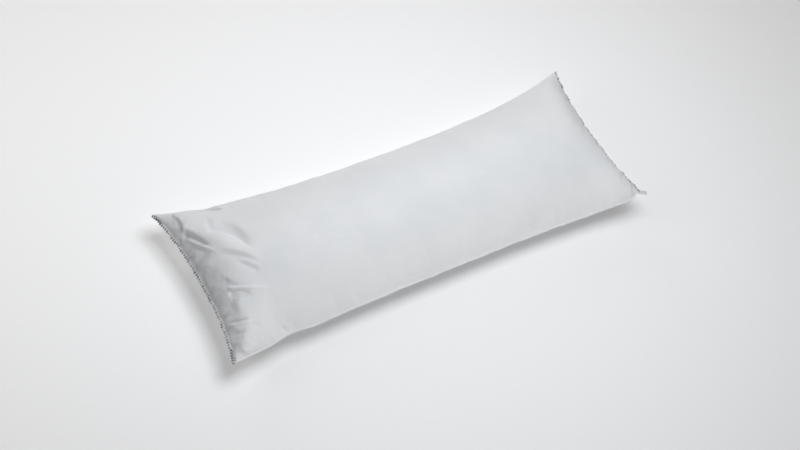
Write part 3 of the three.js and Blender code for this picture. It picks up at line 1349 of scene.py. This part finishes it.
@dataclass
class CornerTab:
    """A bare tape, folded double and caught in the seam of the near right ear. Sizes in millimetres.

    Attributes:
        heading: Its turn in plan from the pillow's length, in radians.
        droop: How far its end hangs down.
        cup: How far its long edges curl up.
        slices: Number of sections across it.
        steps: Number of points along each straight part and round each bend of a section.
    """

    form: PillowForm
    tape: Material
    length: float = 26.0
    width: float = 12.0
    tape_thickness: float = 0.7
    slit: float = 0.2
    corner_radius: float = 2.5
    heading: float = -0.5
    droop: float = 0.8
    cup: float = 0.4
    slices: int = 13
    steps: int = 7

    def outline(self, length: float) -> Array:
        """Go round a slice of the folded tape, against the clock seen from its side.

        Args:
            length: How far the fold reaches, in millimetres.

        Returns:
            Places along and above the slice's middle line, in millimetres.
        """
        outer, inner = self.tape_thickness + self.slit / 2, self.slit / 2
        bend = length - outer
        turns = np.linspace(-math.pi / 2, math.pi / 2, self.steps)
        parts = []
        for radius, start, around in ((outer, -outer, turns), (inner, inner, turns[::-1])):
            there = np.linspace((0.0, start), (bend, start), self.steps)
            fold = np.stack([bend + radius * np.cos(around), radius * np.sin(around)], axis=-1)[1:-1]
            parts += [there, fold, there[::-1] * (1, -1)]
        return np.concatenate(parts)

    def build(self) -> Object:
        """Returns:
            The tab's object.
        """
        rings = []
        for offset in np.linspace(-self.width / 2, self.width / 2, self.slices):
            into_corner = max(0.0, abs(offset) - (self.width / 2 - self.corner_radius))
            shorter = self.corner_radius - math.sqrt(self.corner_radius**2 - into_corner**2)
            along, up = self.outline(self.length - shorter).T
            bent = up - self.droop * (along / self.length) ** 2 + self.cup * (2 * offset / self.width) ** 2
            rings.append(np.stack([along, np.full_like(along, offset), bent], axis=-1))
        flat = np.concatenate(rings)
        one = np.array([1.0])
        ear_x, ear_y = self.form.plan(one, -one, 0.0)
        ear = np.concatenate([ear_x, ear_y, self.form.middle(one, -one, ear_x, ear_y)])
        points = flat @ np.array(Matrix.Rotation(self.heading, 3, "Z")).T + ear
        numbers = np.arange(len(flat)).reshape(self.slices, -1)
        faces = [*quads(np.column_stack([numbers, numbers[:, 0]])), numbers[0], numbers[-1, ::-1]]
        tab = mesh_object("corner_tab_tape", self.form.packed(points), faces, self.tape)
        lay_flat(tab, "flat_tape", flat[loop_vertices(tab), :2])
        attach(tab, "root")
        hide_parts("corner_tab")
        return tab


# Studio


class Flag(Enum):
    """What a flag on its stand keeps a light off: nothing, the table, or all but the table."""

    NONE = ""
    OFF_TABLE = "EXCLUDE"
    TABLE_ONLY = "INCLUDE"


@dataclass(frozen=True)
class Softbox:
    """A square area light that faces the pillow, in metres and degrees. Azimuth 0 is the near side."""

    name: str
    azimuth: float
    elevation: float
    watts: float
    distance: float = 4.0
    side: float = 1.8
    colour: str = "#ffffff"
    flag: Flag = Flag.NONE

    def hang(self, aim: Vector, table: Object) -> None:
        """Hang the light, with its flag.

        Args:
            aim: The place that it faces.
            table: The table's object, which a flag keeps in or out of the light.
        """
        lamp = bpy.data.lights.new(self.name, "AREA")
        lamp.shape = "SQUARE"
        lamp.size = self.side
        lamp.energy = self.watts
        lamp.color = linear(self.colour)[:3]
        light = link_object(self.name, lamp)
        back = towards(self.azimuth, self.elevation)
        light.location = aim + back * self.distance
        light.rotation_euler = (-back).to_track_quat("-Z", "Y").to_euler()
        if self.flag is not Flag.NONE:
            receivers = bpy.data.collections.new(f"{self.name} receivers")
            receivers.objects.link(table)
            receivers.collection_objects[0].light_linking.link_state = self.flag.value
            light.light_linking.receiver_collection = receivers


@dataclass(frozen=True)
class Studio:
    """A plain pale lit table, soft lights and the camera. Lengths are metres and angles degrees.

    Attributes:
        light_aim: The place that the lights face.
        table_drop: How far the table lies under the pillow, so that the two don't share a plane.
        azimuth: The camera's direction, as a light's.
        roll: Its roll, against the clock.
        distance: How far from its aim it stands.
        lens: Its focal length in millimetres, for the sensor's width.
    """

    table: Material
    softboxes: tuple[Softbox, ...] = (
        Softbox("overhead", 0, 90, watts=29.3, distance=2.0, side=1.2, colour="#f7fbff"),
        Softbox("right high", 90, 60, watts=2.4, distance=2.0, side=1.2),
        Softbox("low near", 0, 30, watts=60, colour="#fff8f5", flag=Flag.OFF_TABLE),
        Softbox("table left", 240, 32, watts=12.5, distance=2.6, side=1.2, flag=Flag.TABLE_ONLY),
        Softbox("table high", 75, 68, watts=21.5, flag=Flag.TABLE_ONLY),
        Softbox("low right", 135, 18, watts=11, colour="#fff1ea"),
        Softbox("low far", 180, 18, watts=34, colour="#fff8f5"),
        Softbox("far fill", 176, 20, watts=27, colour="#fff8f5", flag=Flag.OFF_TABLE),
        Softbox("low left", 268, 18, watts=8.6, colour="#fff0e8"),
    )
    light_aim: tuple[float, float, float] = (0.05, 0.0, 0.1)
    table_size: float = 60.0
    table_drop: float = 0.0005
    azimuth: float = -46.06
    elevation: float = 55.08
    roll: float = 19.39
    distance: float = 4.1
    lens: float = 66.54
    sensor: float = 36.0
    aim: tuple[float, float, float] = (-0.0665, -0.0485, 0.092)

    def set_up(self) -> None:
        """Lay the table, hang the lights in a dark room and stand the camera."""
        half, z = self.table_size / 2, -self.table_drop
        corners = np.array([(-half, -half, z), (half, -half, z), (half, half, z), (-half, half, z)])
        floor = mesh_object("floor", corners / MM, [range(4)], self.table)
        for softbox in self.softboxes:
            softbox.hang(Vector(self.light_aim), floor)
        world = bpy.data.worlds.new("studio")
        world.use_nodes = True
        world.node_tree.nodes["Background"].inputs["Strength"].default_value = 0.0
        bpy.context.scene.world = world
        bpy.context.scene.view_settings.view_transform = "Standard"
        self.stand_camera()

    def stand_camera(self) -> None:
        """Stand the camera at its angle and roll, looking at its aim."""
        back = towards(self.azimuth, self.elevation)
        camera = link_object("camera", bpy.data.cameras.new("camera"))
        camera.data.lens = self.lens
        camera.data.sensor_width = self.sensor
        level = (-back).to_track_quat("-Z", "Y").to_matrix()
        rolled = level @ Matrix.Rotation(math.radians(self.roll), 3, "Z")
        camera.rotation_euler = rolled.to_euler()
        camera.location = Vector(self.aim) + back * self.distance
        bpy.context.scene.camera = camera


# The scene


def main() -> None:
    """Build the pillow piece by piece in its studio and log each piece's number of triangles."""
    logging.basicConfig(level=logging.INFO, format="%(name)s: %(message)s")
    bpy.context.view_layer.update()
    Studio(OpalTable().make()).set_up()

    form = PillowForm.from_frame()
    cotton = PercaleCotton().make()
    # Mid grey closing thread: partly its own colour, partly painted shade that stands for the shaded crevice
    # of the left end seam.
    closing_thread_with_painted_shade = SewingThread("grey_thread_with_painted_seam_shade", dark="#75787c", light="#8b8e92").make()
    overlock_thread = SewingThread("white_spun_polyester_thread", dark="#d3d6d8", light="#e4e6e8").make()
    pieces = [FilledPillow(form, cotton).build()]
    wide = StitchRow(pitch=7.8, length=6.2, height=3.0, thread=2.1, turn=24.0, smallest=0.45)
    close = StitchRow(pitch=4.9, length=6.4, height=3.2, thread=1.75, turn=28.0, smallest=0.3)
    tack = StitchRow(pitch=6.4, length=11.0, height=5.0, thread=0.9, turn=-30.0, smallest=0.6)
    materials = (cotton, closing_thread_with_painted_shade, overlock_thread)
    for seam in (
        EndSeam(form, End.LEFT, "end_seam_left", *materials, wide, droop=2.6, tails=(3.5, 4.0), tack=tack),
        EndSeam(form, End.RIGHT, "end_seam_right", *materials, close, droop=0.2, tails=(1.5, 2.5)),
    ):
        pieces += seam.build()
    pieces.append(CornerTab(form, TwillTape().make()).build())
    for piece in pieces:
        piece.data.calc_loop_triangles()
        LOG.info("%s: %d triangles", piece.name, len(piece.data.loop_triangles))

    bpy.context.view_layer.update()


if __name__ == "__main__":
    main()
